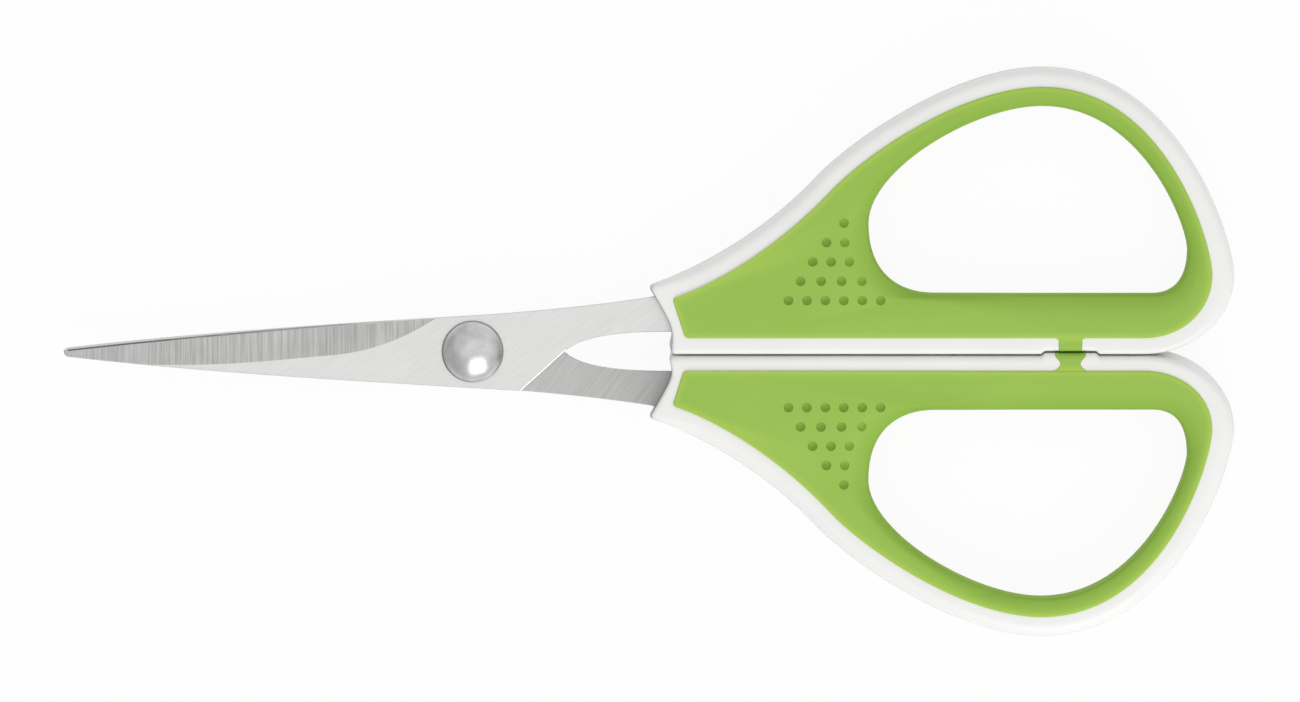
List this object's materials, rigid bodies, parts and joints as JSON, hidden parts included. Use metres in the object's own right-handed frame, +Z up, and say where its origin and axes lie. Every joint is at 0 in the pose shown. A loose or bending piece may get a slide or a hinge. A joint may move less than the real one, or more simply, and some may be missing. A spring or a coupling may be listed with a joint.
{
  "type": "floral snips",
  "caption": "Ring-handled floral snips: pointed steel blades on a domed rivet, with white moulded loop handles lined by dimpled soft green grips.",
  "frame": {"origin": "middle of the closed outline, on the table that the handles lie on", "axes": "+X from the blade tip towards the handles, +Y towards the front blade's handle, +Z up, along the pivot axis"},
  "size_m": [0.15, 0.073, 0.009],
  "materials": {
    "blade_steel": "satin stainless steel with cross-ground bevels",
    "rivet_steel": "polished",
    "white_plastic": "smooth gloss",
    "green_soft": "matt soft-touch elastomer"
  },
  "bodies": {
    "rear_half": {"rear_blade": "blade_steel", "lower_handle": "white_plastic", "lower_grip": "green_soft", "pivot_rivet": "rivet_steel"},
    "front_half": {"front_blade": "blade_steel", "upper_handle": "white_plastic", "upper_grip": "green_soft"}
  },
  "joints": [
    {"name": "pivot", "type": "hinge", "parent": "rear_half", "child": "front_half", "pos_m": [-0.0226, 0, 0.0045], "axis": [0, 0, 1], "range_deg": [0, 150]}
  ]
}
